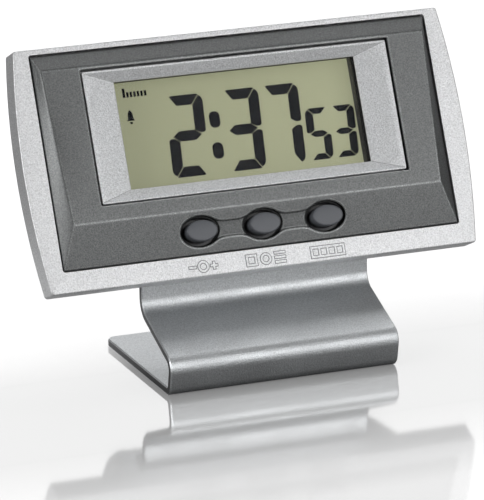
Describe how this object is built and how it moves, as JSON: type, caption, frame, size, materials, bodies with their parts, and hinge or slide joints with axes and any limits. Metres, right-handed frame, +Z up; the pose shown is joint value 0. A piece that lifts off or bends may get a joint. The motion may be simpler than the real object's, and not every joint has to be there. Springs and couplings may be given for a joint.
{
  "type": "digital desk alarm clock",
  "caption": "Small digital desk alarm clock: a display case with oval keys tilts on a bent sheet metal stand.",
  "frame": {"origin": "middle of the stand's flat underside, on the surface it rests on", "axes": "+X to the reader's right, +Y towards the back, +Z up"},
  "size_m": [0.0956, 0.0411, 0.0664],
  "materials": {
    "silver_plastic": "silver metallic paint, fine flake",
    "charcoal_plastic": "charcoal metallic paint, satin",
    "display_silver": "silver metallic paint, satin",
    "clear_acrylic": "clear polished",
    "black_plastic": "matt moulded",
    "polarizer_film": "olive tinted film",
    "display_glass": "clear soda lime glass",
    "crystal_black": "darkened liquid crystal",
    "seal_epoxy": "cured epoxy",
    "reflector_film": "olive diffuse reflector",
    "zebra_rubber": "striped silicone",
    "board_laminate": "green solder mask on glass laminate",
    "chip_resin": "black resin",
    "crystal_can": "drawn can",
    "capacitor_ceramic": "tan ceramic, tinned ends",
    "resistor_body": "black, tinned ends",
    "screw_steel": "zinc plated",
    "key_plastic": "smooth blue grey",
    "dome_rubber": "translucent silicone",
    "cell_steel": "bright plated can",
    "contact_steel": "nickel plated strip",
    "buzzer_brass": "rolled brass",
    "buzzer_white": "silvered ceramic",
    "spring_steel": "spring wire",
    "pin_steel": "ground steel",
    "stand_aluminium": "bent sheet, satin silver"
  },
  "bodies": {
    "stand": {"stand": "stand_aluminium"},
    "head": {"front_frame": "silver_plastic", "rear_housing": "silver_plastic", "dark_bezel": "charcoal_plastic", "lcd_bezel": "display_silver", "window_lens": "clear_acrylic", "lcd_holder": "black_plastic", "lcd_front_polarizer": "polarizer_film", "lcd_front_glass": "display_glass", "lcd_edge_seal": "seal_epoxy", "lcd_segments": "crystal_black", "lcd_rear_glass": "display_glass", "lcd_reflector": "reflector_film", "zebra_strip": "zebra_rubber", "circuit_board": "board_laminate", "chip_blob": "chip_resin", "quartz_crystal": "crystal_can", "capacitors": "capacitor_ceramic", "resistors": "resistor_body", "board_screws": "screw_steel", "case_screws": "screw_steel", "button_cell": "cell_steel", "positive_contact": "contact_steel", "negative_contact": "contact_steel", "buzzer_plate": "buzzer_brass", "buzzer_ceramic": "buzzer_white", "buzzer_springs": "spring_steel", "hinge_pin": "pin_steel", "friction_washers": "spring_steel", "set_dome": "dome_rubber", "mode_dome": "dome_rubber", "date_dome": "dome_rubber"},
    "battery_cap": {"battery_cap": "silver_plastic"},
    "set_button": {"set_button": "key_plastic"},
    "mode_button": {"mode_button": "key_plastic"},
    "date_button": {"date_button": "key_plastic"}
  },
  "joints": [
    {"name": "head_tilt", "type": "hinge", "parent": "stand", "child": "head", "pos_m": [0, -0.0015, 0.0209], "axis": [-1, 0, 0], "range_deg": [-18, 20]},
    {"name": "set_press", "type": "slide", "parent": "head", "child": "set_button", "axis": [0, 0.9107, -0.4131], "range_m": [0, 0.0006], "stiffness_N_per_m": 900, "springref_m": -0.0004, "deforming": ["set_dome"]},
    {"name": "mode_press", "type": "slide", "parent": "head", "child": "mode_button", "axis": [0, 0.9107, -0.4131], "range_m": [0, 0.0006], "stiffness_N_per_m": 900, "springref_m": -0.0004, "deforming": ["mode_dome"]},
    {"name": "date_press", "type": "slide", "parent": "head", "child": "date_button", "axis": [0, 0.9107, -0.4131], "range_m": [0, 0.0006], "stiffness_N_per_m": 900, "springref_m": -0.0004, "deforming": ["date_dome"]},
    {"name": "battery_cap_turn", "type": "hinge", "parent": "head", "child": "battery_cap", "pos_m": [0.0125, 0.01379, 0.03984], "axis": [0, -0.9107, 0.4131], "range_deg": [0, 40]}
  ]
}
